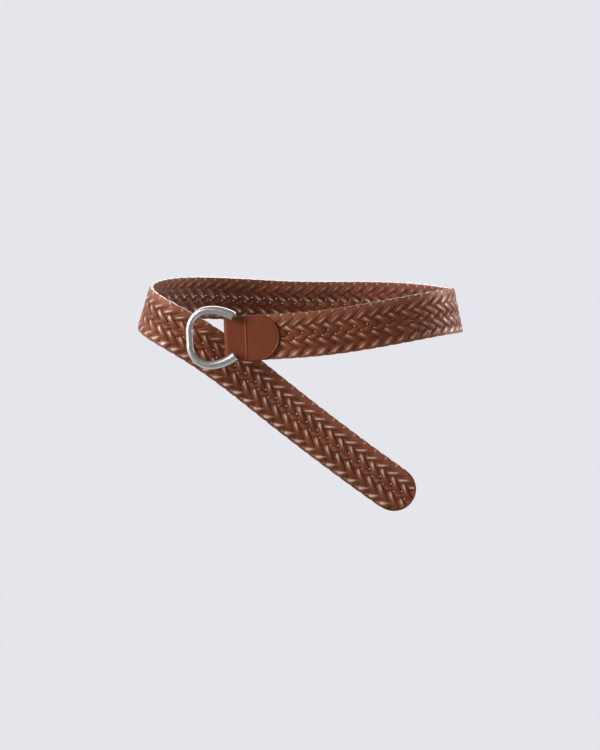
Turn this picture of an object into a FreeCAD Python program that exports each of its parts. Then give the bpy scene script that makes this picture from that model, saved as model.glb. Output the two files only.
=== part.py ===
"""A braided leather belt in its worn shape: one strap, a leather tab, a C-shaped ring buckle.

Millimetres, +Z up. The origin is the centre of the waist opening, +X runs to the right
along the front of the belt and +Y runs through the opening to the back.

The strap is described along its own length. A station gives the way the strap points
there: heading in plan, slope up or down, and lean of its upper edge towards the body.
"""
import FreeCAD, Part
import math
import os

# ---------------------------------------------------------------- driving sizes
STRAP_WIDTH = 38.0
LACE_THICK = 1.7                       # one flat leather lace of the braid
STRAP_THICK = 2 * LACE_THICK           # laces cross, so the strap is two laces thick
STRAP_LENGTH = 942.0                   # from the fold of the tab to the tip

FOLD_POINT = (-66.0, -78.0, -9.7)      # the strap's middle line starts at the tab's fold
STATIONS = (                           # along the strap, heading, slope, lean (degrees)
    (0, -9, 5, 11.5),                  # fold of the tab
    (50, -9, 5, 11.5),                 # end of the tab
    (110, 5, 8, 8.5),                  # middle of the front
    (160, 19.5, 7, 8),                 # front, right of the middle
    (220, 73.5, -7.5, 11.5),           # right hip
    (300, 123, -3.5, 11.5),            # back right
    (400, 169.5, -2, 7.5),             # middle of the back
    (480, 191.5, 5, 8),                # back left
    (560, 233, 5.5, 10),
    (640, 274.5, -3, 16.5),            # left hip
    (700, 348, -28.5, 9),              # turning down behind the buckle
    (760, 355, -37.5, 6.5),            # the tail leaves the front of the belt
    (850, 353, -36.5, 7),
    (950, 356, -34, 3.5),              # tip
)
STEP = 1.0                             # stride used to add up the middle line
EDGE_STRIDE = 12.0                     # spacing of the points that carry an edge curve

# places along the strap
RIGHT_FLEX = 232.0
TAIL_FLEX = 778.0
TIP_FLEX = 862.0
BACK_RIGHT_SEAM = 350.0                # where one stretch of strap is carried on by the next
BACK_LEFT_SEAM = 560.0
TIP_RADIUS = STRAP_WIDTH / 2
TIP_CENTRE = STRAP_LENGTH - TIP_RADIUS

# clearance at a bending place, each side of its line: wide bend and small bend
WIDE_BEND_GAP = 2.2
SMALL_BEND_GAP = 1.1

# tab: one piece of leather folded round the crossbar and glued to both faces of the braid
TAB_LEATHER = 1.5
TAB_THICK = STRAP_THICK + 2 * TAB_LEATHER
TAB_WIDTH = 38.2
TAB_FOLD_WIDTH = 36.0                  # the tab narrows towards its fold, between these places
TAPER_START = 6.0
TAPER_END = 22.0
TAB_LENGTH = 48.2
TAB_END_RADIUS = 19.6
RIDGE_PLACE = 19.5
RIDGE_WIDTH = 1.6
RIDGE_HEIGHT = 0.45
RIDGE_LENGTH = 37.4
GLUE_GAP = 0.12                        # between a leaf and the braid that it is glued to

# crossbar and ring
BAR_RADIUS = 1.55
BAR_PLACE = TAB_THICK / 2              # the fold is round, centred on the bar
RING_LEFT_RADIUS = 3.0                 # the ring's rod grows from its left side to its ends
RING_END_RADIUS = 4.1
RING_GAP = 0.6                         # between the ends of the ring and the tab
RING_OUT = TAB_THICK / 2 + RING_GAP + RING_END_RADIUS
RING_RAISE = 1.8                       # the ring has slid up in the fold as far as its lugs let it
RING_LEFT = -28.6
RING_HALF_HEIGHT = 23.3
RING_CORNER_RADIUS = 17.3
RING_ARM_RADIUS = 39.0
RING_END = 10.2
LUG_RADIUS = 2.3
LUG_WIDTH = 2.6
LUG_PLAY = 0.35                        # between the lower lug and the edge of the fold
LUG_INNER = TAB_FOLD_WIDTH / 2 + RING_RAISE + LUG_PLAY
POCKET_END = BAR_PLACE + LUG_RADIUS + 0.8   # the braid starts behind the bar's pocket

# tip binding: a narrow strip of leather closing the cut laces
BINDING_THICK = 1.1
BINDING_WIDTH = STRAP_THICK + 0.5


# ---------------------------------------------------------------- the strap's line
def slopes_of(places, values):
    """The smooth rate of change of a value at each station."""
    spans = [b - a for a, b in zip(places, places[1:])]
    rates = [(b - a) / span for a, b, span in zip(values, values[1:], spans)]
    inner = [
        (spans[i + 1] * rates[i] + spans[i] * rates[i + 1]) / (spans[i] + spans[i + 1])
        for i in range(len(rates) - 1)
    ]
    return [rates[0]] + inner + [rates[-1]]


def smooth_value(places, values, rates, place):
    """A cubic through the two stations beside a place."""
    i = 0
    while i < len(places) - 2 and place > places[i + 1]:
        i += 1
    span = places[i + 1] - places[i]
    t = (place - places[i]) / span
    start = (2 * t**3 - 3 * t**2 + 1) * values[i] + (t**3 - 2 * t**2 + t) * span * rates[i]
    end = (3 * t**2 - 2 * t**3) * values[i + 1] + (t**3 - t**2) * span * rates[i + 1]
    return start + end


PLACES = [row[0] for row in STATIONS]
CURVES = []
for column in (1, 2, 3):
    degrees = [row[column] for row in STATIONS]
    CURVES.append((degrees, slopes_of(PLACES, degrees)))


def directions(place):
    """Along, out of and up across the strap, as unit vectors."""
    heading, slope, lean = (
        math.radians(smooth_value(PLACES, values, rates, place)) for values, rates in CURVES
    )
    level = FreeCAD.Vector(math.cos(heading), math.sin(heading), 0)
    outward = FreeCAD.Vector(math.sin(heading), -math.cos(heading), 0)
    up = FreeCAD.Vector(0, 0, 1)
    along = level * math.cos(slope) + up * math.sin(slope)
    rise = up * math.cos(slope) - level * math.sin(slope)
    across = rise * math.cos(lean) - outward * math.sin(lean)
    out = outward * math.cos(lean) + rise * math.sin(lean)
    return along, out, across


def middle_line():
    """The middle line's points, one for each STEP along the strap."""
    point = FreeCAD.Vector(*FOLD_POINT)
    points = [point]
    for i in range(int(STRAP_LENGTH / STEP) + 1):
        along = directions((i + 0.5) * STEP)[0]
        point = point + along * STEP
        points.append(point)
    return points


MIDDLE = middle_line()


def middle_point(place):
    i = min(int(place / STEP), len(MIDDLE) - 2)
    share = place / STEP - i
    return MIDDLE[i] * (1 - share) + MIDDLE[i + 1] * share


def strap_point(place, across, out):
    """A point by its place along the strap, its height on it and its depth from the middle."""
    _, out_way, across_way = directions(place)
    return middle_point(place) + across_way * across + out_way * out


# ---------------------------------------------------------------- solids along the strap
def closed_solid(faces):
    solid = Part.Solid(Part.Shell(faces))
    if solid.Volume < 0:
        solid.reverse()
    return solid


def edge_curve(start, end, across, out):
    count = max(4, round((end - start) / EDGE_STRIDE) + 1)
    places = [start + (end - start) * i / (count - 1) for i in range(count)]
    curve = Part.BSplineCurve()
    curve.interpolate([strap_point(place, across, out) for place in places])
    return curve.toShape()


def band(start, end, half_width=STRAP_WIDTH / 2, half_thick=STRAP_THICK / 2):
    """A stretch of the strap as a closed band that follows its bends and twist."""
    corners = ((1, 1), (-1, 1), (-1, -1), (1, -1))
    edges = [edge_curve(start, end, up * half_width, out * half_thick) for up, out in corners]
    faces = [Part.makeRuledSurface(edges[i], edges[(i + 1) % 4]) for i in range(4)]
    for place in (start, end):
        loop = [strap_point(place, up * half_width, out * half_thick) for up, out in corners]
        faces.append(Part.Face(Part.makePolygon(loop + loop[:1])))
    return closed_solid(faces)


# ---------------------------------------------------------------- flat work in a local plane
class Plane:
    """A flat working plane on the strap: s runs along it, w up across it, n out of it."""

    def __init__(self, place, origin_place):
        self.along, self.out, self.across = directions(place)
        self.origin = middle_point(place) - self.along * (place - origin_place)

    def at(self, s, w, n):
        return self.origin + self.along * s + self.across * w + self.out * n

    def plate(self, edges, low, high):
        """A plate between two depths from a closed outline drawn at the lower one."""
        return Part.Face(Part.Wire(edges)).extrude(self.out * (high - low))


def straight(a, b):
    return Part.LineSegment(a, b).toShape()


def arc(a, middle, b):
    return Part.Arc(a, middle, b).toShape()


TAB_PLANE = Plane(TAB_LENGTH / 2, 0.0)
TIP_PLANE = Plane(TIP_CENTRE, TIP_CENTRE)


# ---------------------------------------------------------------- tab
def tab_outline(start, depth):
    """A leaf of the tab: narrow at the fold, then tapering out, then a round end."""
    half = TAB_WIDTH / 2
    fold_half = TAB_FOLD_WIDTH / 2
    centre = TAB_LENGTH - TAB_END_RADIUS
    corner = centre + math.sqrt(TAB_END_RADIUS**2 - half**2)
    side = ((start, fold_half), (TAPER_START, fold_half), (TAPER_END, half), (corner, half))
    lower = [TAB_PLANE.at(s, -w, depth) for s, w in side]
    upper = [TAB_PLANE.at(s, w, depth) for s, w in side]
    edges = [straight(a, b) for a, b in zip(lower, lower[1:])]
    edges.append(arc(lower[-1], TAB_PLANE.at(TAB_LENGTH, 0, depth), upper[-1]))
    edges += [straight(b, a) for a, b in zip(reversed(upper[:-1]), reversed(upper[1:]))]
    edges.append(straight(upper[0], lower[0]))
    return edges


def across_tab(edges, width):
    """A bar right across the tab from its outline, drawn at the tab's lower edge."""
    return Part.Face(Part.Wire(edges)).extrude(TAB_PLANE.across * width)


def tab_leather():
    """Two leaves joined by a round fold, with a raised ridge where the pocket ends."""
    inner = STRAP_THICK / 2 + GLUE_GAP
    outer = TAB_THICK / 2
    front = TAB_PLANE.plate(tab_outline(BAR_PLACE, inner), inner, outer)
    back = TAB_PLANE.plate(tab_outline(BAR_PLACE, -outer), -outer, -inner)

    def fold_point(s, n):
        return TAB_PLANE.at(BAR_PLACE + s, -TAB_FOLD_WIDTH / 2, n)

    fold = across_tab(
        [
            arc(fold_point(0, outer), fold_point(-outer, 0), fold_point(0, -outer)),
            straight(fold_point(0, -outer), fold_point(0, -inner)),
            arc(fold_point(0, -inner), fold_point(-inner, 0), fold_point(0, inner)),
            straight(fold_point(0, inner), fold_point(0, outer)),
        ],
        TAB_FOLD_WIDTH,
    )

    def ridge_point(s, n):
        return TAB_PLANE.at(RIDGE_PLACE + s, -RIDGE_LENGTH / 2, n)

    left, right = -RIDGE_WIDTH / 2, RIDGE_WIDTH / 2
    ridge = across_tab(
        [
            arc(ridge_point(left, outer), ridge_point(0, outer + RIDGE_HEIGHT), ridge_point(right, outer)),
            straight(ridge_point(right, outer), ridge_point(right, inner)),
            straight(ridge_point(right, inner), ridge_point(left, inner)),
            straight(ridge_point(left, inner), ridge_point(left, outer)),
        ],
        RIDGE_LENGTH,
    )
    return front.fuse([back, fold, ridge]).removeSplitter()


# ---------------------------------------------------------------- buckle
CORNER_SPANS = 6                       # spans between the sections of the ring's loft
ARM_SPANS = 5


def ring_line():
    """The ring's centre line as (s, w, share of the way from its left side to its end)."""
    top_start = RING_LEFT + RING_CORNER_RADIUS
    side = RING_HALF_HEIGHT - RING_CORNER_RADIUS
    arm_turn = math.asin((RING_END - top_start) / RING_ARM_RADIUS)
    upper = [(RING_LEFT, side * i / 2) for i in (0, 1)]
    for i in range(CORNER_SPANS + 1):
        turn = math.radians(90) * i / CORNER_SPANS
        s = top_start - RING_CORNER_RADIUS * math.cos(turn)
        upper.append((s, side + RING_CORNER_RADIUS * math.sin(turn)))
    for i in range(1, ARM_SPANS + 1):
        turn = arm_turn * i / ARM_SPANS
        drop = RING_ARM_RADIUS * (1 - math.cos(turn))
        upper.append((top_start + RING_ARM_RADIUS * math.sin(turn), RING_HALF_HEIGHT - drop))
    lower = [(s, -w) for s, w in reversed(upper[1:])]
    return lower + upper


def buckle_ring():
    """A C-shaped rod, thicker towards its ends, with a lug behind each end for the crossbar."""
    points = ring_line()
    sections = []
    for i, (s, w) in enumerate(points):
        before = points[max(i - 1, 0)]
        after = points[min(i + 1, len(points) - 1)]
        way = TAB_PLANE.along * (after[0] - before[0]) + TAB_PLANE.across * (after[1] - before[1])
        share = (s - RING_LEFT) / (RING_END - RING_LEFT)
        radius = RING_LEFT_RADIUS + (RING_END_RADIUS - RING_LEFT_RADIUS) * share
        centre = TAB_PLANE.at(s, w + RING_RAISE, RING_OUT)
        circle = Part.Circle(centre, way, radius)
        sections.append(Part.Wire(circle.toShape()))
    rod = Part.makeLoft(sections, True, False)
    return rod.fuse([lug(1), lug(-1)])


def lug(side):
    """A short lug from behind an end of the ring down to the crossbar."""
    low = side * LUG_INNER + RING_RAISE
    at = TAB_PLANE.at
    left = BAR_PLACE - LUG_RADIUS
    right = BAR_PLACE + LUG_RADIUS
    edges = [
        arc(at(left, low, 0), at(BAR_PLACE, low, -LUG_RADIUS), at(right, low, 0)),
        straight(at(right, low, 0), at(right, low, RING_OUT)),
        straight(at(right, low, RING_OUT), at(left, low, RING_OUT)),
        straight(at(left, low, RING_OUT), at(left, low, 0)),
    ]
    body = Part.Face(Part.Wire(edges)).extrude(TAB_PLANE.across * LUG_WIDTH * side)
    return body.cut(bar_cylinder(BAR_RADIUS))


def bar_cylinder(radius):
    half = LUG_INNER + LUG_WIDTH
    start = TAB_PLANE.at(BAR_PLACE, RING_RAISE - half, 0)
    return Part.makeCylinder(radius, 2 * half, start, TAB_PLANE.across)


# ---------------------------------------------------------------- tip
def tip_outline(radius, depth):
    at = TIP_PLANE.at
    return arc(at(0, -radius, depth), at(radius, 0, depth), at(0, radius, depth))


def strap_tail_tip():
    """The last stretch of the tail, cut to a half circle inside its binding."""
    half = STRAP_THICK / 2
    radius = TIP_RADIUS - BINDING_THICK
    at = TIP_PLANE.at
    edges = [tip_outline(radius, -half), straight(at(0, radius, -half), at(0, -radius, -half))]
    round_end = TIP_PLANE.plate(edges, -half, half)
    return band(TIP_FLEX + SMALL_BEND_GAP, TIP_CENTRE).fuse(round_end)


def tip_binding():
    half = BINDING_WIDTH / 2
    radius = TIP_RADIUS - BINDING_THICK
    at = TIP_PLANE.at
    edges = [
        tip_outline(TIP_RADIUS, -half),
        straight(at(0, TIP_RADIUS, -half), at(0, radius, -half)),
        tip_outline(radius, -half),
        straight(at(0, -radius, -half), at(0, -TIP_RADIUS, -half)),
    ]
    return TIP_PLANE.plate(edges, -half, half)


# ---------------------------------------------------------------- write the pieces
NODES = {
    "strap_front": lambda: band(POCKET_END, RIGHT_FLEX - WIDE_BEND_GAP),
    "strap_right": lambda: band(RIGHT_FLEX + WIDE_BEND_GAP, BACK_RIGHT_SEAM),
    "strap_back": lambda: band(BACK_RIGHT_SEAM, BACK_LEFT_SEAM),
    "strap_left": lambda: band(BACK_LEFT_SEAM, TAIL_FLEX - SMALL_BEND_GAP),
    "strap_tail_upper": lambda: band(TAIL_FLEX + SMALL_BEND_GAP, TIP_FLEX - SMALL_BEND_GAP),
    "strap_tail_tip": strap_tail_tip,
    "tip_binding": tip_binding,
    "tab_leather": tab_leather,
    "buckle_ring": buckle_ring,
    "buckle_bar": lambda: bar_cylinder(BAR_RADIUS),
}

os.makedirs("parts", exist_ok=True)
for name, make in NODES.items():
    shape = make()
    shape.exportStep("parts/" + name + ".step")
    box = shape.BoundBox
    print(
        f"{name}: valid {shape.isValid()}, solids {len(shape.Solids)}, volume {shape.Volume:.0f}, "
        f"x {box.XMin:.1f}..{box.XMax:.1f}, y {box.YMin:.1f}..{box.YMax:.1f}, "
        f"z {box.ZMin:.1f}..{box.ZMax:.1f}"
    )

for name, place in (("right_flex", RIGHT_FLEX), ("tail_flex", TAIL_FLEX), ("tip_flex", TIP_FLEX)):
    point = middle_point(place)
    axis = directions(place)[2]
    print(name, [round(v, 2) for v in point], [round(v, 5) for v in axis])
bar_point = TAB_PLANE.at(BAR_PLACE, 0, 0)
print("buckle_pivot", [round(v, 2) for v in bar_point], [round(v, 5) for v in TAB_PLANE.across])
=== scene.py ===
"""The looks of the braided leather belt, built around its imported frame.

Everything is in metres and in the belt's own frame: +X to the right along the front, +Y
through the waist opening to the back, +Z up. The strap's pieces are drawn in strap
coordinates, (s along it, w up across it, n out of it), and then laid on the strap's line.
"""

import math

import bmesh
import bpy
import numpy as np
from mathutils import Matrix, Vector


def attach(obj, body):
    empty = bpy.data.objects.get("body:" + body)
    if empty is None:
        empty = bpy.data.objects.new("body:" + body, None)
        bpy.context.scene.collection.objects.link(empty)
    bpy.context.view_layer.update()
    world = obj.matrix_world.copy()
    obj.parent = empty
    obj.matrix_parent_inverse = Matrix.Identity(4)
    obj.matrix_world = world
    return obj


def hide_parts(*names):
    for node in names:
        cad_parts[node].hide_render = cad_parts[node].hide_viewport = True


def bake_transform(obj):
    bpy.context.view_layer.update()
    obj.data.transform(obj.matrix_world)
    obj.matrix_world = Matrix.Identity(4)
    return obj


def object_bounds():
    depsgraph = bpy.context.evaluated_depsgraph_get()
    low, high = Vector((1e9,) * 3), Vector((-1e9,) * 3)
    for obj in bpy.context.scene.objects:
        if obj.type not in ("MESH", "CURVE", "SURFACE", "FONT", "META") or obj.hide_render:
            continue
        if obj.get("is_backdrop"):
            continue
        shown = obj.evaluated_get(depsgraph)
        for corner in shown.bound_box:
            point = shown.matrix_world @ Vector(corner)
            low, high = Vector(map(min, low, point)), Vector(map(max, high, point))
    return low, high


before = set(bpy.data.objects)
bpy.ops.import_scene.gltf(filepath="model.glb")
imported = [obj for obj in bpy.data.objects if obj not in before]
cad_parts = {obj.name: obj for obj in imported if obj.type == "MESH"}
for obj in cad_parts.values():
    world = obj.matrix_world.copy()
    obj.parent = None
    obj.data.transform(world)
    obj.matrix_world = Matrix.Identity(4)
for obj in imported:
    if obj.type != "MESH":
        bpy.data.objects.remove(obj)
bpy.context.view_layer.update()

MM = 0.001

# ---------------------------------------------------------------- sizes, as in the CAD model
STRAP_WIDTH = 38.0 * MM
LACE_THICK = 1.7 * MM
STRAP_THICK = 2 * LACE_THICK
STRAP_LENGTH = 942.0 * MM
FOLD_POINT = (-66.0 * MM, -78.0 * MM, -9.7 * MM)
STATIONS = (                           # mm along the strap; heading, slope, lean in degrees
    (0, -9, 5, 11.5),
    (50, -9, 5, 11.5),
    (110, 5, 8, 8.5),
    (160, 19.5, 7, 8),
    (220, 73.5, -7.5, 11.5),
    (300, 123, -3.5, 11.5),
    (400, 169.5, -2, 7.5),
    (480, 191.5, 5, 8),
    (560, 233, 5.5, 10),
    (640, 274.5, -3, 16.5),
    (700, 348, -28.5, 9),
    (760, 355, -37.5, 6.5),
    (850, 353, -36.5, 7),
    (950, 356, -34, 3.5),
)
STEP = 1.0 * MM
SPARE_STEPS = 3                        # the line is carried on this far past the strap's end

TAIL_FLEX = 778.0 * MM
TIP_FLEX = 862.0 * MM
TIP_CENTRE = STRAP_LENGTH - STRAP_WIDTH / 2
BINDING_THICK = 1.1 * MM

TAB_LEATHER = 1.5 * MM
TAB_THICK = STRAP_THICK + 2 * TAB_LEATHER
TAB_WIDTH = 38.2 * MM
TAB_FOLD_WIDTH = 36.0 * MM             # the tab narrows towards its fold, between these places
TAPER_START = 6.0 * MM
TAPER_END = 22.0 * MM
TAB_LENGTH = 48.2 * MM
TAB_END_RADIUS = 19.6 * MM
TAB_CENTRE = TAB_LENGTH - TAB_END_RADIUS
TAB_CORNER = TAB_CENTRE + math.sqrt(TAB_END_RADIUS**2 - (TAB_WIDTH / 2) ** 2)
RIDGE_PLACE = 19.5 * MM
BAR_PLACE = TAB_THICK / 2

RING_LEFT_RADIUS = 3.0 * MM
RING_END_RADIUS = 4.1 * MM
RING_GAP = 0.6 * MM                    # between the ends of the ring and the tab
RING_OUT = TAB_THICK / 2 + RING_GAP + RING_END_RADIUS
RING_RAISE = 1.8 * MM                  # the ring has slid up in the fold
RING_LEFT = -28.6 * MM
RING_HALF_HEIGHT = 23.3 * MM
RING_CORNER_RADIUS = 17.3 * MM
RING_ARM_RADIUS = 39.0 * MM
RING_END = 10.2 * MM
LUG_RADIUS = 2.3 * MM
LUG_WIDTH = 2.6 * MM
LUG_PLAY = 0.35 * MM
LUG_INNER = TAB_FOLD_WIDTH / 2 + RING_RAISE + LUG_PLAY

# ---------------------------------------------------------------- sizes of the detail
# the stretches of laces
LACES_START = 6.3 * MM                 # inside the tab's fold
FRONT_END = 345.0 * MM
LOOP_END = TAIL_FLEX - 40.0 * MM
UPPER_END = (TAIL_FLEX + TIP_FLEX) / 2
PAST_TIP = 2.0 * MM                    # the last stretch runs on this far and is then cut round

# the braid
LACES = 9
FACE_ORDER = (1, -1, -1, 1, -1, -1, 1, 1)   # 1 where the rising lace is on the face, from below up
LEVELS = len(FACE_ORDER)
LEVEL_RISE = 4.0 * MM
PITCH = 11.2 * MM                      # along the strap, from one lace to the next beside it
HALF_PITCH = PITCH / 2
EDGE_HALF_WIDTH = 3.2 * MM             # half a lace's width near the strap's edges
MIDDLE_HALF_WIDTH = 2.95 * MM          # in the middle, where small holes stay open,
BORDER_HALF_WIDTH = 3.6 * MM           # and in the border, where they are pressed together
OPEN_MIDDLE = 3.2 * MM                 # the holes are this near to the middle line,
CLOSED_FROM = 5.0 * MM                 # and from here on the laces close up
WEAVE_RISE = 0.8 * MM                  # a lace's middle plane above or below the strap's
FLOAT_ARCH = 0.25 * MM                 # the middle of a float stands this much prouder
EDGE_REACH = 19.4 * MM                 # the strap's edge, where its laces turn round
EDGE_PULL = 1.8                        # how fast the turns are drawn out towards it
BORDER_FROM = 12.8 * MM                # in the upper border, each lace is folded over itself
BORDER_FULL = 15.2 * MM                # and pressed flat, as thick as the strap
LOWER_BORDER = 2.6 * MM                # the lower border is this much narrower
BORDER_SINK = 0.93                     # how far its layers have sunk level with each other
RIM_POWER = 10                         # how closely the burnished rim keeps to the very edge
CROSSING_CONTRAST = 1.15               # how sharply a lace dips from one crossing to the next
CROWN_POWER = 0.65                     # a lace's section: 1 is an ellipse, less is flatter
BORDER_POWER = 0.15
SECTION_POINTS = 16                    # points round a lace's section
STRIDES = 6                            # sections in each half pitch
SHORTEST = 0.03                        # in half pitches, the least distance between two sections
SLOPE_REACH = 0.03                     # and how far each way a lace's slope is taken over
INSIDE_TURN = 0.3                      # how far round its section a lace's inner side fades in
GRAIN_APART = 37                       # sets the grain of each lace apart from the next one's

# the painted highlights on the floats: pale streaks and spots that stand in for glints of light
SHORT_FLOAT = 1                        # a float's length in half pitches: over one middle lace,
EDGE_FLOAT = 1.5                       # at the lower edge,
LONG_FLOAT = 2                         # and over two laces
STREAK = (0.58, 0.72, 0.17)            # a painted highlight, streak or spot: its place and its spread along
SPOT = (0.32, 0.48, 0.31)              # the float in half pitches, its spread across in half widths
HIGHLIGHT_HEAD = 0.6                         # it starts more sharply than it dies away, by this share
EDGE_HIGHLIGHT = 0.6                         # its share of the full width on edge floats and shorter ones
SHORT_HIGHLIGHT = 0.25                       # its share of the full strength on short floats
HIGHLIGHT_PLACES = (170.0 * MM, 230.0 * MM, 700.0 * MM, 780.0 * MM)
HIGHLIGHT_STRENGTH = (0.75, 1.0, 1.0, 1.35)          # the painted highlights' strength at these places, strongest on the tail
TICK_HEIGHT = 16.8 * MM                # a small painted highlight where each lace turns at the top
TICK_SPREAD = 1.05 * MM

# the tip and its binding
TIP_TRIM = 0.8                         # the laces stop this share of the binding's thickness short
TIP_CUT_POINTS = 33
BINDING_WIDTH = STRAP_THICK + 0.7 * MM
BINDING_LAP = 1.9 * MM                 # it laps this far over the ends of the laces
BINDING_END = 97                       # it runs this many degrees each way from the very tip,
BINDING_TAPER_END = 98                 # and tapers over the last few as if to end here,
BINDING_TAPER = 9
BINDING_THINNEST = 0.25                # but to no less than this share
BINDING_POWER = 0.6                    # its section, between an ellipse and a box
BINDING_POINTS = 16
BINDING_SECTIONS = 65

# the tab's relief
LEAF_CLEARANCE = 0.12 * MM             # the leaves stay this clear of the braid
EDGE_ROUND = 0.45 * MM
EDGE_FADE = 1.2 * MM                   # the ridge dies away this near to the edge
RIDGE_RISE = 0.5 * MM
RIDGE_SPREAD = 0.62 * MM
DIP_DEPTH = 0.18                       # the leather is drawn down beside the ridge, by this share
DIP_PLACE = 1.6 * MM
DIP_SPREAD = 0.8 * MM
GROOVE_INSET = 1.75 * MM               # a groove follows the rounded end,
GROOVE_DEPTH = 0.4 * MM
GROOVE_SPREAD = 0.38 * MM
GROOVE_START = 4.0 * MM                # from this far past the middle of its round
GROOVE_GROWTH = 8.0 * MM
RIM_RISE = 0.5                         # and a rim stands up outside it, by this share of its depth
RIM_INSET = 0.85 * MM
RIM_SPREAD = 0.6 * MM
SWAY = 0.07 * MM                       # slow unevenness of the hide: two crossed waves, and how
SWAY_WAVES = ((210, 60), (-45, 170))   # many radians each goes through in a metre of s and of w
RIDGE_REACH = 2.6 * MM                 # the rows are closer this far each side of the ridge
END_ROWS, FAR_ROWS, RIDGE_ROWS, NEAR_ROWS, FOLD_ROWS = 34, 16, 30, 14, 22
OUTER_POINTS, INNER_POINTS = 41, 7     # points across its two faces

# the buckle
ROD_RIM = 0.45 * MM                    # the rounding of the rod's cut ends
ROD_POINTS = 36
UPRIGHT_SECTIONS, CORNER_SECTIONS, ARM_SECTIONS, RIM_SECTIONS = 8, 30, 26, 5
LUG_POINTS = 17
LUG_ROUND = 0.35 * MM
LUG_ROUND_STEPS = 3
LUG_SHARP = math.radians(40)           # edges that turn more than this stay sharp
SHARP = math.radians(50)
WELD = 1e-7                            # points nearer than this are one point


# ---------------------------------------------------------------- the strap's line
def hermite(places, values, at):
    """A smooth curve through stations; its rate at each is the mean of its two sides'."""
    span = np.diff(places)
    rate = np.diff(values) / span
    inner = (span[1:] * rate[:-1] + span[:-1] * rate[1:]) / (span[1:] + span[:-1])
    rates = np.concatenate([rate[:1], inner, rate[-1:]])
    i = np.clip(np.searchsorted(places, at, side="right") - 1, 0, len(places) - 2)
    h = span[i]
    t = (at - places[i]) / h
    start = (2 * t**3 - 3 * t**2 + 1) * values[i] + (t**3 - 2 * t**2 + t) * h * rates[i]
    end = (3 * t**2 - 2 * t**3) * values[i + 1] + (t**3 - t**2) * h * rates[i + 1]
    return start + end


class StrapLine:
    """The strap's middle line and its three directions, sampled at every STEP."""

    def __init__(self):
        table = np.array(STATIONS, float)
        self.places = table[:, 0] * MM
        self.angles = np.radians(table[:, 1:])
        count = int(STRAP_LENGTH / STEP) + SPARE_STEPS
        half_steps = (np.arange(count) + 0.5) * STEP
        along = self.directions(half_steps)[0]
        start = np.array(FOLD_POINT)
        self.middle = np.vstack([start, start + np.cumsum(along, axis=0) * STEP])

    def directions(self, at):
        heading, slope, lean = (hermite(self.places, self.angles[:, k], at) for k in range(3))
        zero, one = np.zeros_like(heading), np.ones_like(heading)
        level = np.stack([np.cos(heading), np.sin(heading), zero], -1)
        outward = np.stack([np.sin(heading), -np.cos(heading), zero], -1)
        up = np.stack([zero, zero, one], -1)
        cos_slope, sin_slope = np.cos(slope)[:, None], np.sin(slope)[:, None]
        cos_lean, sin_lean = np.cos(lean)[:, None], np.sin(lean)[:, None]
        along = level * cos_slope + up * sin_slope
        rise = up * cos_slope - level * sin_slope
        across = rise * cos_lean - outward * sin_lean
        out = outward * cos_lean + rise * sin_lean
        return along, out, across

    def lay(self, points):
        """Strap coordinates, an (N, 3) array of s, w, n, as points of the belt's frame."""
        points = np.asarray(points, float)
        s = points[:, 0]
        _, out, across = self.directions(s)
        i = np.clip((s / STEP).astype(int), 0, len(self.middle) - 2)
        share = (s / STEP - i)[:, None]
        middle = self.middle[i] * (1 - share) + self.middle[i + 1] * share
        return middle + across * points[:, 1:2] + out * points[:, 2:3]


LINE = StrapLine()


class Flat:
    """A flat working plane on the strap, for what is stiff: the tab, the buckle, the tip."""

    def __init__(self, place):
        self.along, self.out, self.across = (v[0] for v in LINE.directions(np.array([place])))
        self.origin = LINE.lay([[place, 0, 0]])[0] - self.along * place

    def lay(self, points):
        p = np.asarray(points, float)
        return (
            self.origin
            + p[:, 0:1] * self.along
            + p[:, 1:2] * self.across
            + p[:, 2:3] * self.out
        )


TAB_FLAT = Flat(TAB_LENGTH / 2)
TIP_FLAT = Flat(TIP_CENTRE)


# ---------------------------------------------------------------- mesh helpers
def tube(name, rings, ground, attributes=None):
    """A piece from rings of points (s, w, n), laid on the strap's line or on a flat plane.

    It has quads between neighbouring rings and a flat cap at each end. attributes holds a
    value for each point, under each attribute's name.
    """
    count, around, _ = rings.shape
    quads = []
    for i in range(count - 1):
        a, b = i * around, (i + 1) * around
        for j in range(around):
            k = (j + 1) % around
            quads.append((a + j, a + k, b + k, b + j))
    quads.append(tuple(reversed(range(around))))
    quads.append(tuple(range((count - 1) * around, count * around)))
    mesh = bpy.data.meshes.new(name)
    mesh.from_pydata(ground.lay(rings.reshape(-1, 3)).tolist(), [], quads)
    for key, values in (attributes or {}).items():
        layer = mesh.attributes.new(key, "FLOAT", "POINT")
        layer.data.foreach_set("value", np.asarray(values, np.float32).ravel())
    work = bmesh.new()
    work.from_mesh(mesh)
    bmesh.ops.remove_doubles(work, verts=work.verts, dist=WELD)
    bmesh.ops.dissolve_degenerate(work, edges=work.edges, dist=WELD)
    bmesh.ops.recalc_face_normals(work, faces=work.faces)
    work.to_mesh(mesh)
    work.free()
    mesh.shade_smooth()
    mesh.set_sharp_from_angle(angle=SHARP)
    return placed(name, mesh)


def placed(name, data):
    """A new object with this mesh, light or camera, in the scene."""
    thing = bpy.data.objects.new(name, data)
    bpy.context.scene.collection.objects.link(thing)
    return thing


def apply_modifiers(piece):
    """Leaves a piece with the mesh that its modifiers make."""
    bpy.context.view_layer.update()
    graph = bpy.context.evaluated_depsgraph_get()
    mesh = bpy.data.meshes.new_from_object(piece.evaluated_get(graph), depsgraph=graph)
    piece.modifiers.clear()
    piece.data = mesh


def circle(count):
    """Angles of evenly spaced points round a section."""
    return np.arange(count) * 2 * math.pi / count


def flattened(wave, power):
    """A sine or cosine drawn out towards a square wave, for a section fuller than an ellipse."""
    return np.sign(wave) * np.abs(wave) ** power


def bump(x, middle, spread):
    """A smooth hump of height 1."""
    return np.exp(-(((x - middle) / spread) ** 2))


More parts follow.
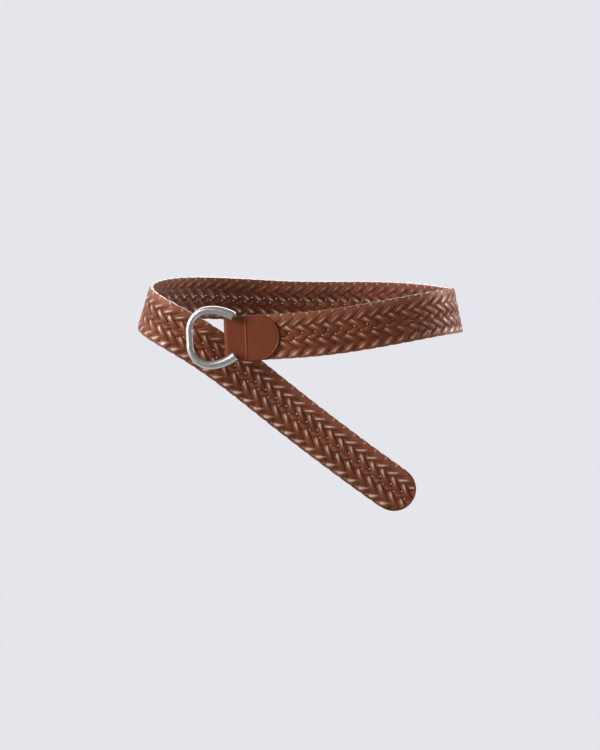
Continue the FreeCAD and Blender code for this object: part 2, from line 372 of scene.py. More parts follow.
def comet(x, head, spread):
    """A hump of height 1 that starts sharply and dies away slowly."""
    front = bump(x, head, spread * HIGHLIGHT_HEAD)
    return np.where(x < head, front, 1 / (1 + ((x - head) / spread) ** 2))


def between(x, low, high, at_low, at_high):
    """Goes evenly from one value to another as x goes from low to high."""
    return at_low + (at_high - at_low) * np.clip((x - low) / (high - low), 0, 1)


# ---------------------------------------------------------------- the braid
TURN = 2 * LEVELS + 2                  # a lace's whole path up and back down, in half pitches
MIDDLE_LEVEL = (LEVELS - 1) / 2
TOP_CROSSING = MIDDLE_LEVEL * LEVEL_RISE
SLOPE_ANGLE = math.atan2(LEVEL_RISE, HALF_PITCH)
TURN_RADIUS = HALF_PITCH / math.sin(SLOPE_ANGLE)
TURN_RISE = TURN_RADIUS * (1 - math.cos(SLOPE_ANGLE))
FREE_EDGE = TOP_CROSSING + TURN_RISE + BORDER_HALF_WIDTH   # the edge before it is pulled straight


def float_bounds():
    """Where a lace passes from one face to the other along its path, in half pitches."""
    signs = FACE_ORDER + (0,) + tuple(-sign for sign in reversed(FACE_ORDER)) + (0,)
    bounds = []
    for u, sign in enumerate(signs):
        if sign == 0:
            bounds.append(u)
        elif sign == -signs[u - 1]:
            bounds.append(u - 0.5)
    return np.array([bounds[-1] - TURN] + bounds + [bounds[0] + TURN])


FLOAT_BOUNDS = float_bounds()


def lace_path(u):
    """A lace's path, u half pitches on from its lowest crossing.

    It rises over LEVELS crossings, turns round at the strap's upper edge, falls back and
    turns at the lower edge. Returns its height, its way (1 rising, -1 falling) and how far
    it is from the nearest turn.
    """
    u = np.mod(u, TURN)
    from_top = np.abs(u - LEVELS)
    from_bottom = np.minimum(np.abs(u - (TURN - 1)), u + 1)
    rising = (u < LEVELS) | (u >= TURN - 1)
    w = np.where(u < LEVELS, u - MIDDLE_LEVEL, LEVELS + 1 + MIDDLE_LEVEL - u) * LEVEL_RISE

    def arc_height(from_summit):
        """Height above the last crossing on the round of a turn."""
        reach = np.clip(from_summit, 0, 1) * HALF_PITCH
        return np.sqrt(TURN_RADIUS**2 - reach**2) - TURN_RADIUS * math.cos(SLOPE_ANGLE)

    w = np.where(from_top < 1, TOP_CROSSING + arc_height(from_top), w)
    w = np.where(from_bottom < 1, -TOP_CROSSING - arc_height(from_bottom), w)
    return w, np.where(rising, 1.0, -1.0), np.minimum(from_top, from_bottom)


def float_places(u):
    """How far each point is along its float, the float's length, and its face (1 or -1)."""
    u = np.mod(u, TURN)
    i = np.searchsorted(FLOAT_BOUNDS, u, side="right") - 1
    return u - FLOAT_BOUNDS[i], FLOAT_BOUNDS[i + 1] - FLOAT_BOUNDS[i], 1 - 2 * (i % 2)


def face_field(s, w):
    """1 where the rising laces lie on the face and -1 where the falling ones do, smoothed."""
    level = w / LEVEL_RISE + (LEVELS + 1) / 2
    a = (s / HALF_PITCH + level) / 2   # a whole number all along each falling lace,
    b = (s / HALF_PITCH - level) / 2   # and all along each rising one
    order = np.array(FACE_ORDER, float)

    def value(i, j):
        """At the crossing of falling lace i and rising lace j."""
        return order[np.clip(i - j, 1, LEVELS).astype(int) - 1]

    def ease(t):
        """A smooth step from one crossing to the next."""
        t = np.clip((t - 0.5) * CROSSING_CONTRAST + 0.5, 0, 1)
        return t * t * (3 - 2 * t)

    i, j = np.floor(a), np.floor(b)
    p, q = ease(a - i), ease(b - j)
    low = value(i, j) * (1 - p) + value(i + 1, j) * p
    high = value(i, j + 1) * (1 - p) + value(i + 1, j + 1) * p
    return low * (1 - q) + high * q


def pulled_straight(w):
    """Draws the laces' turns out to the strap's nearly straight edges."""
    free = FREE_EDGE - TOP_CROSSING
    t = np.clip((np.abs(w) - TOP_CROSSING) / free, 0, 1)
    start = (t**3 - 2 * t**2 + t) * free * EDGE_PULL
    end = (3 * t**2 - 2 * t**3) * (EDGE_REACH - TOP_CROSSING)
    return np.where(t > 0, np.sign(w) * (TOP_CROSSING + start + end), w)


def painted_highlights(s, u, way, flat):
    """How strongly highlights are painted on the floats: a streak on some, a spot on the others."""
    on_float, length, side = float_places(u)
    place, along, across = np.where((way * side)[:, None] > 0, STREAK, SPOT).T
    painted_highlight = comet(on_float, np.minimum(place, length / 2), along)
    painted_highlight *= between(length, SHORT_FLOAT, EDGE_FLOAT, SHORT_HIGHLIGHT, 1) * np.interp(s, HIGHLIGHT_PLACES, HIGHLIGHT_STRENGTH)
    across = across * between(length, EDGE_FLOAT, LONG_FLOAT, EDGE_HIGHLIGHT, 1)
    return painted_highlight[:, None] * bump(flat[None], 0, across[:, None])


def lace(name, index, start, end):
    """One lace of the braid between two places along the strap."""
    lowest = 2 * index + 1             # where its path starts, in half pitches along the strap
    first, last = start / HALF_PITCH - lowest, end / HALF_PITCH - lowest
    inner = np.arange(math.ceil(first * STRIDES), math.floor(last * STRIDES) + 1) / STRIDES
    inner = inner[(inner > first + SHORTEST) & (inner < last - SHORTEST)]
    u = np.concatenate([[first], inner, [last]])
    s = (u + lowest) * HALF_PITCH
    w, way, from_turn = lace_path(u)
    rise = lace_path(u + SLOPE_REACH)[0] - lace_path(u - SLOPE_REACH)[0]
    slope = rise / (2 * SLOPE_REACH * HALF_PITCH)
    length = np.sqrt(1 + slope**2)
    side_s, side_w = -slope / length, 1 / length

    angle = circle(SECTION_POINTS)
    flat, crown = np.cos(angle), np.sin(angle)
    edge_w = np.abs(w[:, None] + side_w[:, None] * EDGE_HALF_WIDTH * np.sign(flat))
    half_width = between(edge_w, OPEN_MIDDLE, CLOSED_FROM, MIDDLE_HALF_WIDTH, EDGE_HALF_WIDTH)
    half_width += between(edge_w, BORDER_FROM, BORDER_FULL, 0, BORDER_HALF_WIDTH - EDGE_HALF_WIDTH)
    across = half_width * flat
    ring_s = s[:, None] + side_s[:, None] * across
    ring_w = w[:, None] + side_w[:, None] * across
    reach = np.where(ring_w > 0, ring_w, -ring_w - LOWER_BORDER)
    border = between(reach, BORDER_FROM, BORDER_FULL, 0, 1)

    on_float, float_length, _ = float_places(u)
    arch = np.sin(math.pi * on_float / float_length)
    turning = np.sin(np.clip(from_turn, 0, 1) * math.pi / 2)
    face = way[:, None] * face_field(ring_s, ring_w) * turning[:, None]
    lift = face * (WEAVE_RISE + FLOAT_ARCH * arch[:, None]) * (1 - BORDER_SINK * border)
    half_thick = LACE_THICK / 2 + WEAVE_RISE * border
    ring_n = lift + flattened(crown, CROWN_POWER + (BORDER_POWER - CROWN_POWER) * border) * half_thick
    rings = np.stack([ring_s, pulled_straight(ring_w), ring_n], -1)

    # painted highlights: pale streaks and spots on the floats, and small ticks where each lace turns
    # at the top
    painted_highlight = painted_highlights(s, u, way, flat) * (1 - border)
    last_turn = (np.round((u - LEVELS) / TURN) * TURN + LEVELS + lowest) * HALF_PITCH
    tick = bump(ring_s, last_turn[:, None], TICK_SPREAD) * bump(ring_w, TICK_HEIGHT, TICK_SPREAD)
    inside = between(crown, -INSIDE_TURN, INSIDE_TURN, 1, 0)
    attributes = {
        "height": np.maximum(np.abs(ring_n) / STRAP_THICK * 2, border),
        "edge": np.abs(flat)[None] * (1 - border),
        "painted_highlight": np.maximum(painted_highlight, tick),
        "border": border,
        "rim": np.abs(flat)[None] ** RIM_POWER * border,
        "inside": np.broadcast_to(inside, border.shape),
        "along": np.broadcast_to((u + GRAIN_APART * index)[:, None], border.shape),
        "across": np.broadcast_to(flat, border.shape),
    }
    return tube(name, rings, LINE, attributes)


def cut_to_tip(piece):
    """Trims a lace to the strap's half-round end, just inside its binding."""
    radius = STRAP_WIDTH / 2 - BINDING_THICK * TIP_TRIM
    wide = STRAP_WIDTH                 # the cutter is wider than the strap, so only its end is cut
    reach = STRAP_LENGTH - UPPER_END
    turns = np.radians(np.linspace(-90, 90, TIP_CUT_POINTS))
    outline = [(-reach, wide), (-reach, -wide), (0, -wide)]
    outline += [(radius * math.cos(t), radius * math.sin(t)) for t in turns]
    outline.append((0, wide))
    faces_at = (-STRAP_THICK * 2, STRAP_THICK * 2)
    points = [(TIP_CENTRE + s, w, n) for n in faces_at for s, w in outline]
    count = len(outline)
    faces = [tuple(reversed(range(count))), tuple(range(count, 2 * count))]
    faces += [(i, (i + 1) % count, count + (i + 1) % count, count + i) for i in range(count)]
    mesh = bpy.data.meshes.new("tip_cutter")
    mesh.from_pydata(TIP_FLAT.lay(points).tolist(), [], faces)
    cutter = placed("tip_cutter", mesh)
    trim = piece.modifiers.new("trim", "BOOLEAN")
    trim.operation = "INTERSECT"
    trim.solver = "EXACT"
    trim.object = cutter
    apply_modifiers(piece)
    bpy.data.objects.remove(cutter)


# ---------------------------------------------------------------- tip binding
def tip_binding():
    """A narrow rounded strip over the cut laces, tapering off where the straight edges start."""
    angle = circle(BINDING_POINTS)
    turns = np.radians(np.linspace(-BINDING_END, BINDING_END, BINDING_SECTIONS))
    left = math.radians(BINDING_TAPER_END) - np.abs(turns)
    taper = np.clip(left / math.radians(BINDING_TAPER), BINDING_THINNEST, 1)
    middle_radius = (STRAP_WIDTH - BINDING_LAP) / 2
    side = flattened(np.cos(angle), BINDING_POWER) * BINDING_LAP / 2
    depth = flattened(np.sin(angle), BINDING_POWER) * BINDING_WIDTH / 2
    radial = middle_radius + side[None] * taper[:, None]
    s = TIP_CENTRE + radial * np.cos(turns)[:, None]
    w = radial * np.sin(turns)[:, None]
    rings = np.stack([s, w, depth[None] * taper[:, None]], -1)
    return tube("tip_edge_binding", rings, TIP_FLAT)


# ---------------------------------------------------------------- tab
def side_reach(s):
    """Half the tab's width: narrow at the fold, then tapering out."""
    share = np.clip((s - TAPER_START) / (TAPER_END - TAPER_START), 0, 1)
    return (TAB_FOLD_WIDTH + (TAB_WIDTH - TAB_FOLD_WIDTH) * share) / 2


def tab_relief(s, w, is_front):
    """How far the tab's face stands above its plain surface: edge, rim, groove and ridge."""
    from_side = side_reach(s) - np.abs(w)
    from_end = TAB_END_RADIUS - np.hypot(s - TAB_CENTRE, w)
    inset = np.where(s > TAB_CENTRE, np.minimum(from_side, from_end), from_side)
    inset = np.clip(inset, 0, None)
    short = np.clip(EDGE_ROUND - inset, 0, EDGE_ROUND)
    edge = np.sqrt(EDGE_ROUND**2 - short**2) - EDGE_ROUND
    round_end = np.clip((s - TAB_CENTRE - GROOVE_START) / GROOVE_GROWTH, 0, 1)
    groove = -GROOVE_DEPTH * bump(inset, GROOVE_INSET, GROOVE_SPREAD) * round_end
    rim = RIM_RISE * GROOVE_DEPTH * bump(inset, RIM_INSET, RIM_SPREAD) * round_end
    ridge = RIDGE_RISE * bump(s, RIDGE_PLACE, RIDGE_SPREAD)
    dip = -DIP_DEPTH * RIDGE_RISE * bump(np.abs(s - RIDGE_PLACE), DIP_PLACE, DIP_SPREAD)
    fade = np.clip(inset / EDGE_FADE, 0, 1)
    wave, cross_wave = (s * along + w * across for along, across in SWAY_WAVES)
    sway = SWAY * np.sin(wave) * np.cos(cross_wave)
    return edge + groove + rim + ((ridge + dip) * fade if is_front else 0) + sway * fade


def tab_leather():
    """One strip of leather: the front leaf, the fold round the crossbar and the back leaf."""
    thick = TAB_LEATHER - LEAF_CLEARANCE
    corner_turn = math.asin((TAB_CORNER - TAB_CENTRE) / TAB_END_RADIUS)
    end_rows = TAB_CENTRE + TAB_END_RADIUS * np.sin(np.linspace(math.pi / 2, corner_turn, END_ROWS))
    marks = (TAB_CORNER, RIDGE_PLACE + RIDGE_REACH, RIDGE_PLACE - RIDGE_REACH, BAR_PLACE)
    counts = (FAR_ROWS, RIDGE_ROWS, NEAR_ROWS)
    runs = [np.linspace(a, b, n)[1:] for a, b, n in zip(marks, marks[1:], counts)]
    leaf = np.concatenate([end_rows, *runs])
    rows = [(s, 0.0) for s in leaf]
    rows += [(BAR_PLACE, turn) for turn in np.linspace(0, math.pi, FOLD_ROWS)[1:-1]]
    rows += [(s, math.pi) for s in reversed(leaf)]
    outer = np.sin(np.linspace(-1, 1, OUTER_POINTS) * math.pi / 2)
    inner = np.linspace(1, -1, INNER_POINTS)
    rings = []
    for s, turn in rows:
        reach = TAB_END_RADIUS**2 - max(s - TAB_CENTRE, 0) ** 2
        half = min(side_reach(s), math.sqrt(max(reach, 0)))
        relief = tab_relief(np.full_like(outer, s), half * outer, turn < math.pi / 2)
        radius = TAB_THICK / 2 + np.concatenate([relief, np.full_like(inner, -thick)])
        w = np.concatenate([half * outer, half * inner])
        rings.append(np.stack([s - radius * math.sin(turn), w, radius * math.cos(turn)], -1))
    return tube("tab_chape", np.array(rings), TAB_FLAT)


# ---------------------------------------------------------------- buckle
def ring_line():
    """Points (s, w) of the ring's centre line from its lower end round to its upper end."""
    top_start = RING_LEFT + RING_CORNER_RADIUS
    side = RING_HALF_HEIGHT - RING_CORNER_RADIUS
    arm_turn = math.asin((RING_END - top_start) / RING_ARM_RADIUS)
    upright = np.linspace(0, side, UPRIGHT_SECTIONS)[:-1]
    corner = np.linspace(0, math.pi / 2, CORNER_SECTIONS)[:-1]
    arm = np.linspace(0, arm_turn, ARM_SECTIONS)
    runs = (
        (np.full_like(upright, RING_LEFT), upright),
        (
            top_start - RING_CORNER_RADIUS * np.cos(corner),
            side + RING_CORNER_RADIUS * np.sin(corner),
        ),
        (
            top_start + RING_ARM_RADIUS * np.sin(arm),
            RING_HALF_HEIGHT - RING_ARM_RADIUS * (1 - np.cos(arm)),
        ),
    )
    upper = np.concatenate([np.stack(run, -1) for run in runs])
    lower = upper[:0:-1] * (1, -1)
    return np.vstack([lower, upper])


def ring_rod():
    """The C-shaped rod, thicker towards its ends, each end cut flat with a rounded rim."""
    line = ring_line()
    way = np.gradient(line, axis=0)
    way /= np.linalg.norm(way, axis=1)[:, None]
    share = (line[:, 0] - RING_LEFT) / (RING_END - RING_LEFT)
    radius = RING_LEFT_RADIUS + (RING_END_RADIUS - RING_LEFT_RADIUS) * share

    turns = np.linspace(0, math.pi / 2, RIM_SECTIONS)[1:]
    past, narrower = ROD_RIM * np.sin(turns), ROD_RIM * (1 - np.cos(turns))
    first_rim = line[0] - way[0] * past[::-1, None]
    last_rim = line[-1] + way[-1] * past[:, None]
    line = np.vstack([first_rim, line, last_rim])
    radius = np.concatenate([radius[0] - narrower[::-1], radius, radius[-1] - narrower])
    way = np.vstack([[way[0]] * len(turns), way, [way[-1]] * len(turns)])

    angle = circle(ROD_POINTS)
    reach = radius[:, None] * np.cos(angle)[None]
    s = line[:, 0:1] - way[:, 1:2] * reach
    w = line[:, 1:2] + way[:, 0:1] * reach + RING_RAISE
    n = RING_OUT + radius[:, None] * np.sin(angle)[None]
    return tube("buckle_ring_rod", np.stack([s, w, n], -1), TAB_FLAT)


def lug(name, side):
    """A lug from behind one end of the ring to the crossbar: side is 1 above and -1 below."""
    turns = np.linspace(math.pi, 2 * math.pi, LUG_POINTS)
    outline = [(BAR_PLACE + LUG_RADIUS * math.cos(t), LUG_RADIUS * math.sin(t)) for t in turns]
    outline += [(BAR_PLACE + LUG_RADIUS, RING_OUT), (BAR_PLACE - LUG_RADIUS, RING_OUT)]
    inner = side * LUG_INNER + RING_RAISE
    heights = (inner, inner + side * LUG_WIDTH)
    rings = np.array([[(s, w, n) for s, n in outline] for w in heights])
    piece = tube(name, rings, TAB_FLAT)
    soften = piece.modifiers.new("soften", "BEVEL")
    soften.width = LUG_ROUND
    soften.segments = LUG_ROUND_STEPS
    soften.limit_method = "ANGLE"
    apply_modifiers(piece)
    piece.data.shade_smooth()
    piece.data.set_sharp_from_angle(angle=LUG_SHARP)
    return piece


# ---------------------------------------------------------------- materials
class Nodes:
    """A material and short ways to add nodes to it."""

    def __init__(self, name):
        self.material = bpy.data.materials.new(name)
        self.material.use_nodes = True
        self.tree = self.material.node_tree
        self.shader = self.tree.nodes["Principled BSDF"]
        self.space = self.add("ShaderNodeTexCoord").outputs["Object"]

    def add(self, kind, **settings):
        node = self.tree.nodes.new(kind)
        for key, value in settings.items():
            setattr(node, key, value)
        return node

    def link(self, source, target):
        self.tree.links.new(source, target)

    def feed(self, socket, source):
        """Gives one of the shader's sockets a value that varies over the surface."""
        self.link(source, self.shader.inputs[socket])

    def fix(self, socket, value):
        """Gives one of the shader's sockets the same value all over the surface."""
        self.shader.inputs[socket].default_value = value

    def noise(self, scale, detail=4, rough=0.6, stretch=None, source=None):
        """Noise of about this many spots to the metre, or to the unit of another source."""
        node = self.add("ShaderNodeTexNoise")
        node.inputs["Scale"].default_value = scale
        node.inputs["Detail"].default_value = detail
        node.inputs["Roughness"].default_value = rough
        source = source or self.space
        if stretch:
            mapping = self.add("ShaderNodeMapping")
            mapping.inputs["Scale"].default_value = stretch
            self.link(source, mapping.inputs["Vector"])
            source = mapping.outputs["Vector"]
        self.link(source, node.inputs["Vector"])
        return node.outputs["Fac"]

    def cells(self, scale):
        """The distance to the edges of cells, this many to the metre."""
        node = self.add("ShaderNodeTexVoronoi", feature="DISTANCE_TO_EDGE")
        node.inputs["Scale"].default_value = scale
        self.link(self.space, node.inputs["Vector"])
        return node.outputs["Distance"]

    def attribute(self, name):
        return self.add("ShaderNodeAttribute", attribute_name=name).outputs["Fac"]

    def lace_space(self):
        """Coordinates along a lace in half pitches and across it in half widths."""
        node = self.add("ShaderNodeCombineXYZ")
        self.link(self.attribute("along"), node.inputs["X"])
        self.link(self.attribute("across"), node.inputs["Y"])
        return node.outputs[0]

    def ramp(self, source, start, end):
        """Goes from one colour to another between two values, each given with its colour."""
        node = self.add("ShaderNodeValToRGB")
        for element, (place, colour) in zip(node.color_ramp.elements, (start, end)):
            element.position = place
            element.color = (*colour, 1)
        self.link(source, node.inputs["Fac"])
        return node.outputs["Color"]

    def mix(self, share, a, b, blend="MIX"):
        node = self.add("ShaderNodeMix", data_type="RGBA", blend_type=blend)
        for socket, value in ((node.inputs[0], share), (node.inputs[6], a), (node.inputs[7], b)):
            if isinstance(value, bpy.types.NodeSocket):
                self.link(value, socket)
            elif isinstance(value, tuple):
                socket.default_value = (*value, 1)
            else:
                socket.default_value = value
        return node.outputs[2]

    def scaled(self, source, old, new):
        """Carries the range old = (low, high) over to the range new, and no further."""
        node = self.add("ShaderNodeMapRange")
        for i, value in enumerate((*old, *new)):
            node.inputs[i + 1].default_value = value
        self.link(source, node.inputs[0])
        return node.outputs[0]

    def joined(self, operation, a, b):
        node = self.add("ShaderNodeMath", operation=operation)
        self.link(a, node.inputs[0])
        self.link(b, node.inputs[1])
        return node.outputs[0]

    def bumps(self, *layers):
        """Bump layers of (height socket, depth in metres), each on top of the last."""
        normal = None
        for source, depth in layers:
            node = self.add("ShaderNodeBump")
            node.inputs["Strength"].default_value = 1.0
            node.inputs["Distance"].default_value = depth
            self.link(source, node.inputs["Height"])
            if normal:
                self.link(normal, node.inputs["Normal"])
            normal = node.outputs["Normal"]
        self.feed("Normal", normal)


LACE_BROWN = (0.240, 0.060, 0.022)
LACE_DARK = (0.080, 0.020, 0.008)
LACE_RED = (0.345, 0.092, 0.036)
# the colour of the painted highlights on the floats
LACE_HIGHLIGHT_PAINT = (0.86, 0.66, 0.54)
LACE_BORDER = (0.37, 0.140, 0.080)
INSIDE_PAINTED_SHADE = (0.74, 0.74, 0.72)      # painted shade: the belt's inner face is multiplied darker, as it lies in the shade of the loop
STROKE_DARK = (0.66, 0.63, 0.60)       # the strokes along a lace multiply its colour by these
STROKE_PALE = (1.14, 1.16, 1.18)
FIBRE_DARK = (0.66, 0.66, 0.66)
PORE_DARK = (0.80, 0.80, 0.80)
WHITE = (1, 1, 1)
BLACK = (0, 0, 0, 1)
TAB_BROWN = (0.235, 0.057, 0.023)
TAB_DARK = (0.195, 0.045, 0.017)
BINDING_BROWN = (0.215, 0.054, 0.022)
BINDING_DARK = (0.150, 0.036, 0.014)
NICKEL_DARK = (0.62, 0.60, 0.56)
NICKEL_PALE = (0.70, 0.68, 0.64)
LEATHER_SHINE = (1.0, 0.72, 0.6, 1)
LEATHER_SPECULAR = 0.3
LACE_ROUGHNESS = (0.38, 0.52)          # roughness varies over a surface between two values
TAB_ROUGHNESS = (0.37, 0.49)
BINDING_ROUGHNESS = (0.31, 0.43)
NICKEL_ROUGHNESS = (0.26, 0.40)
GLAZE_BAND, GLAZE_WEIGHT = (0.1, 0.8), (0.05, 1.0)
GLAZE_ROUGHNESS = 0.2
PORES = 1400                           # to the metre
NOISE_BAND = (0.3, 0.7)                # most of a noise's values are within this
EDGE_BAND, EDGE_DARKNESS = (0.78, 1.0), 0.45
# painted shade down in the recesses, where the laces dip under one another
RECESS_BAND, RECESS_PAINTED_SHADE = (0.1, 0.6), 0.55
BORDER_PALENESS = 0.45
HIGHLIGHT_PATCH_BAND, FAINTEST_HIGHLIGHT = (0.38, 0.62), 0.6   # the painted highlights are patchy by this much
HIGHLIGHT_BAND = (0.12, 1.0)
FIBRE_SHARE = 0.8
PORE_SHARE = 0.5
STROKE_STRETCH = (0.35, 4.5, 1)        # the strokes run along the lace,
SCRATCH_STRETCH = (0.25, 1, 1)         # and the scratches from left to right


def lace_leather():
    """Glazed lace leather: mottled browns, painted shade in the recesses and on the inner face,
    painted highlights on its floats.
    """
    m = Nodes("lace_leather")
    body = m.ramp(m.noise(scale=70), (0.35, LACE_BROWN), (0.65, LACE_RED))
    fibres = m.ramp(m.noise(scale=900, detail=5, rough=0.7), (0.35, FIBRE_DARK), (0.7, WHITE))
    body = m.mix(FIBRE_SHARE, body, fibres, "MULTIPLY")
    grain = m.noise(1, detail=3, rough=0.65, stretch=STROKE_STRETCH, source=m.lace_space())
    strokes = m.ramp(grain, (0.3, STROKE_DARK), (0.68, STROKE_PALE))
    body = m.mix(1.0, body, strokes, "MULTIPLY")
    # dark along a lace's edges, painted shade down in the recesses, paler in the pressed border
    body = m.mix(m.scaled(m.attribute("edge"), EDGE_BAND, (0, EDGE_DARKNESS)), body, LACE_DARK)
    body = m.mix(m.scaled(m.attribute("height"), RECESS_BAND, (RECESS_PAINTED_SHADE, 0)), body, LACE_DARK)
    body = m.mix(m.scaled(m.attribute("border"), (0, 1), (0, BORDER_PALENESS)), body, LACE_BORDER)
    # painted shade on the belt's inner face
    body = m.mix(m.attribute("inside"), body, INSIDE_PAINTED_SHADE, "MULTIPLY")
    # painted highlights: pale, patchy streaks and spots on the floats
    highlight_patches = m.scaled(m.noise(scale=240), HIGHLIGHT_PATCH_BAND, (FAINTEST_HIGHLIGHT, 1))
    painted_highlight = m.scaled(m.attribute("painted_highlight"), HIGHLIGHT_BAND, (0, 1))
    m.feed("Base Color", m.mix(m.joined("MULTIPLY", highlight_patches, painted_highlight), body, LACE_HIGHLIGHT_PAINT))
    m.feed("Roughness", m.scaled(m.noise(scale=260, detail=3), NOISE_BAND, LACE_ROUGHNESS))
    m.fix("Specular IOR Level", LEATHER_SPECULAR)
    m.fix("Specular Tint", LEATHER_SHINE)
    # the glaze (coat) goes on the painted highlights and on the burnished rim
    glazed = m.joined("MAXIMUM", m.attribute("painted_highlight"), m.attribute("rim"))
    m.feed("Coat Weight", m.scaled(glazed, GLAZE_BAND, GLAZE_WEIGHT))
    m.fix("Coat Roughness", GLAZE_ROUGHNESS)
    m.bumps((grain, 0.18 * MM), (m.noise(scale=420, detail=5), 0.10 * MM), (m.cells(1500), 0.03 * MM))
    return m.material


def smooth_leather(name, brown, dark, roughness):
    """Smooth calf leather with a fine grain and slow changes of tone."""
    m = Nodes(name)
    body = m.ramp(m.noise(scale=35, detail=3), (NOISE_BAND[0], dark), (NOISE_BAND[1], brown))
    pores = m.ramp(m.cells(PORES), (0.0, PORE_DARK), (0.25, WHITE))
    m.feed("Base Color", m.mix(PORE_SHARE, body, pores, "MULTIPLY"))
    m.feed("Roughness", m.scaled(m.noise(scale=300, detail=3), NOISE_BAND, roughness))
    m.fix("Specular IOR Level", LEATHER_SPECULAR)
    m.fix("Specular Tint", LEATHER_SHINE)
    m.bumps((m.cells(PORES), 0.04 * MM), (m.noise(scale=500), 0.03 * MM))
    return m.material


def satin_nickel():
    """Brushed nickel plate: long fine scratches that soften its reflections."""
    m = Nodes("satin_nickel")
    m.fix("Metallic", 1.0)
    tone = m.noise(scale=90, detail=2)
    m.feed("Base Color", m.ramp(tone, (NOISE_BAND[0], NICKEL_DARK), (NOISE_BAND[1], NICKEL_PALE)))
    scratches = m.noise(scale=700, rough=0.7, stretch=SCRATCH_STRETCH)
    m.feed("Roughness", m.scaled(scratches, NOISE_BAND, NICKEL_ROUGHNESS))
    m.bumps((scratches, 0.012 * MM), (m.noise(scale=60, detail=2), 0.03 * MM))
    return m.material


PAPER = (0.783, 0.791, 0.831, 1)
DIM_SPAN = (-0.9, 0.4)                 # from this far in front of the belt to this far behind it,
DIM_LIGHT = (0.3, 1.0)                 # the sweep's light grows from dim to full


def paper(name, dim_in_front=False):
    """Pale paper that gives its own light, evenly or more dimly in front of the belt."""
    m = Nodes(name)
    m.fix("Base Color", BLACK)
    m.fix("Roughness", 1.0)
    m.fix("Specular IOR Level", 0.0)
    m.fix("Emission Color", PAPER)
    m.fix("Emission Strength", 1.0)
    if dim_in_front:
        split = m.add("ShaderNodeSeparateXYZ")
        m.link(m.space, split.inputs[0])
        m.feed("Emission Strength", m.scaled(split.outputs["Y"], DIM_SPAN, DIM_LIGHT))
    return m.material


def dress(piece, material):
    piece.data.materials.clear()
    piece.data.materials.append(material)


# ---------------------------------------------------------------- the pieces
LACE_MATERIAL = lace_leather()
TAB_MATERIAL = smooth_leather("tab_calf", TAB_BROWN, TAB_DARK, TAB_ROUGHNESS)
BINDING_MATERIAL = smooth_leather("binding_calf", BINDING_BROWN, BINDING_DARK, BINDING_ROUGHNESS)
NICKEL_MATERIAL = satin_nickel()


def at(place):
    """A point on the strap's middle line."""
    return tuple(LINE.lay([[place, 0, 0]])[0])


STRETCHES = (                          # name, start, end, CAD nodes that it stands for
    ("front", LACES_START, FRONT_END, ("strap_front", "strap_right")),
    ("loop", FRONT_END, LOOP_END, ("strap_back", "strap_left")),
    ("tail", LOOP_END, UPPER_END, ("strap_tail_upper",)),
    ("tip", UPPER_END, STRAP_LENGTH + PAST_TIP, ("strap_tail_tip",)),
)
for stretch, start, end, nodes in STRETCHES:
    for index in range(LACES):
        piece = lace(f"lace_{index + 1}_{stretch}", index, start, end)
        if stretch == "tip":
            cut_to_tip(piece)
        dress(piece, LACE_MATERIAL)
        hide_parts(*nodes)
        if stretch == "front":
            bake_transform(piece)
        elif stretch == "loop":
            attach(piece, "waist_loop")
        elif stretch == "tail":
            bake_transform(piece)
        else:
            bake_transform(piece)

tab = tab_leather()
dress(tab, TAB_MATERIAL)
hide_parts("tab_leather")
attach(tab, "buckle_end")

binding = tip_binding()
dress(binding, BINDING_MATERIAL)
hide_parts("tip_binding")
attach(binding, "tail_end")

ring = ring_rod()
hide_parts("buckle_ring")
for piece in (ring, lug("buckle_lug_upper", 1), lug("buckle_lug_lower", -1)):
    dress(piece, NICKEL_MATERIAL)
    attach(piece, "buckle")
dress(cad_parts["buckle_bar"], NICKEL_MATERIAL)

# ---------------------------------------------------------------- stage, light and camera
COVE_POINTS = 17
ROOM_DROP = 2.4                        # low enough to see the belt from below
ROOM_RADIUS = 9.0
ROOM_BEND = 2.5
ROOM_TOP = 8.0
ROOM_SIDES = 96
SWEEP_DROP = 0.45                      # the belt is held in the air, above the sweep's floor
SWEEP_HALF_WIDTH = 7.0
SWEEP_NEAR = -6.0
SWEEP_BEND_START = 2.0
SWEEP_BEND = 2.5
SWEEP_TOP = 6.0
LIGHTS = (                             # name, place, what it is aimed at, size, brightness
    ("left_wall", (-1.6, 0.3, 0.4), (0, 0.3, 0.2), (2.6, 2.2), 0.45),
    ("left_key", (-1.6, -0.66, 0.7), (0, 0, 0), (0.8, 1.1), 10.0),
    ("tail_fill", (0.3, -0.62, -0.55), (0.06, -0.08, -0.13), (0.5, 0.4), 0.9),
    ("right_box", (1.9, 0.35, 0.25), (0, 0, 0), (0.8, 1.1), 9.0),
    ("back_box", (0, 2.6, 1.3), (0, 0, 0), (3.0, 1.6), 2.6),
)
WORLD_COLOUR = (0.78, 0.79, 0.83, 1)
WORLD_STRENGTH = 0.33
CAMERA_DISTANCE = 2.888
CAMERA_HEIGHT_ANGLE = math.radians(11)
CAMERA_AIM = Vector((-1.7 * MM, 12 * MM, -58.1 * MM))
LENS = 157.3


def stage_piece(name, points, faces, material):
    mesh = bpy.data.meshes.new(name)
    mesh.from_pydata(points, [], faces)
    mesh.shade_smooth()
    mesh.materials.append(material)
    piece = placed(name, mesh)
    piece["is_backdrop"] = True
    return piece


def cove(start, floor, radius):
    """Points (outward, height) of the quarter circle that joins a floor to its wall."""
    turns = np.radians(np.linspace(0, 90, COVE_POINTS))
    return [(start + radius * math.sin(t), floor + radius * (1 - math.cos(t))) for t in turns]


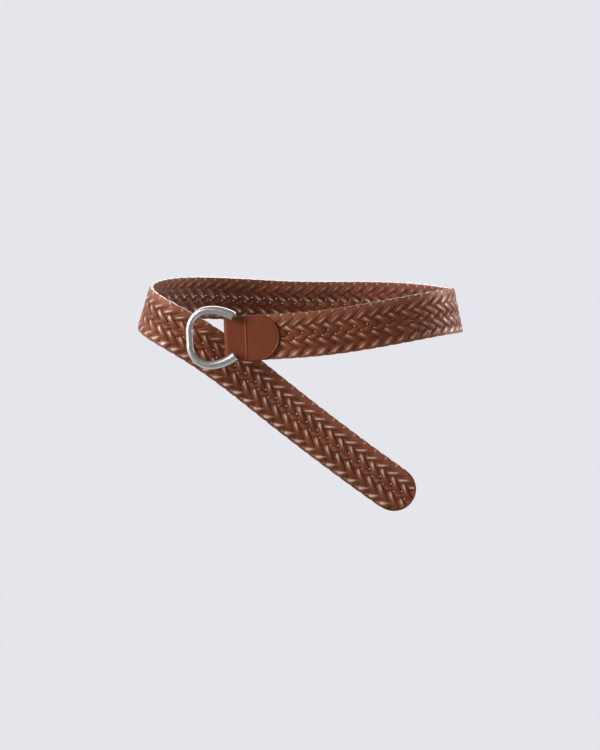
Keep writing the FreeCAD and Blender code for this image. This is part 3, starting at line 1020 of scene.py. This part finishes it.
def room():
    """A pale round room, floor and all, that is the same from every side.

    Only the camera sees it, so that it adds nothing to the belt's light.
    """
    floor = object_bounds()[0][2] - ROOM_DROP
    profile = cove(ROOM_RADIUS - ROOM_BEND, floor, ROOM_BEND) + [(ROOM_RADIUS, ROOM_TOP)]
    turns = np.radians(np.arange(0, 360, 360 / ROOM_SIDES))
    points = [(r * math.cos(t), r * math.sin(t), z) for r, z in profile for t in turns]
    faces = [range(ROOM_SIDES), range(len(points) - ROOM_SIDES, len(points))]
    for i in range(len(profile) - 1):
        for j in range(ROOM_SIDES):
            k = (j + 1) % ROOM_SIDES
            a, b = i * ROOM_SIDES, (i + 1) * ROOM_SIDES
            faces.append((a + j, a + k, b + k, b + j))
    piece = stage_piece("pale_room", points, faces, paper("room_paper"))
    piece.visible_diffuse = False
    piece.visible_glossy = False
    piece.visible_transmission = False
    piece.visible_shadow = False


def sweep():
    """A paper sweep of floor, bend and wall that throws soft light on the belt.

    The camera doesn't see it.
    """
    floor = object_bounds()[0][2] - SWEEP_DROP
    profile = [(SWEEP_NEAR, floor)] + cove(SWEEP_BEND_START, floor, SWEEP_BEND)
    profile.append((SWEEP_BEND_START + SWEEP_BEND, SWEEP_TOP))
    points = [(side * SWEEP_HALF_WIDTH, y, z) for y, z in profile for side in (-1, 1)]
    faces = [(2 * i, 2 * i + 1, 2 * i + 3, 2 * i + 2) for i in range(len(profile) - 1)]
    piece = stage_piece("paper_sweep", points, faces, paper("sweep_paper", dim_in_front=True))
    piece.visible_camera = False


def soft_box(name, place, aim, size, brightness):
    """A rectangular soft light whose face is as bright as this, whatever its size."""
    light = bpy.data.lights.new(name, "AREA")
    light.shape = "RECTANGLE"
    light.size, light.size_y = size
    light.energy = brightness * math.pi * size[0] * size[1]
    holder = placed(name, light)
    holder.location = place
    holder.rotation_euler = (Vector(aim) - Vector(place)).to_track_quat("-Z", "Y").to_euler()


room()
sweep()
for light in LIGHTS:
    soft_box(*light)

world = bpy.data.worlds.new("pale_room")
world.use_nodes = True
background = world.node_tree.nodes["Background"]
background.inputs["Color"].default_value = WORLD_COLOUR
background.inputs["Strength"].default_value = WORLD_STRENGTH
bpy.context.scene.world = world
bpy.context.scene.view_settings.view_transform = "Standard"

camera_data = bpy.data.cameras.new("camera")
camera_data.lens = LENS
camera = placed("camera", camera_data)
back = Vector((0, -math.cos(CAMERA_HEIGHT_ANGLE), math.sin(CAMERA_HEIGHT_ANGLE)))
camera.location = CAMERA_AIM + back * CAMERA_DISTANCE
camera.rotation_euler = back.to_track_quat("Z", "Y").to_euler()
bpy.context.scene.camera = camera
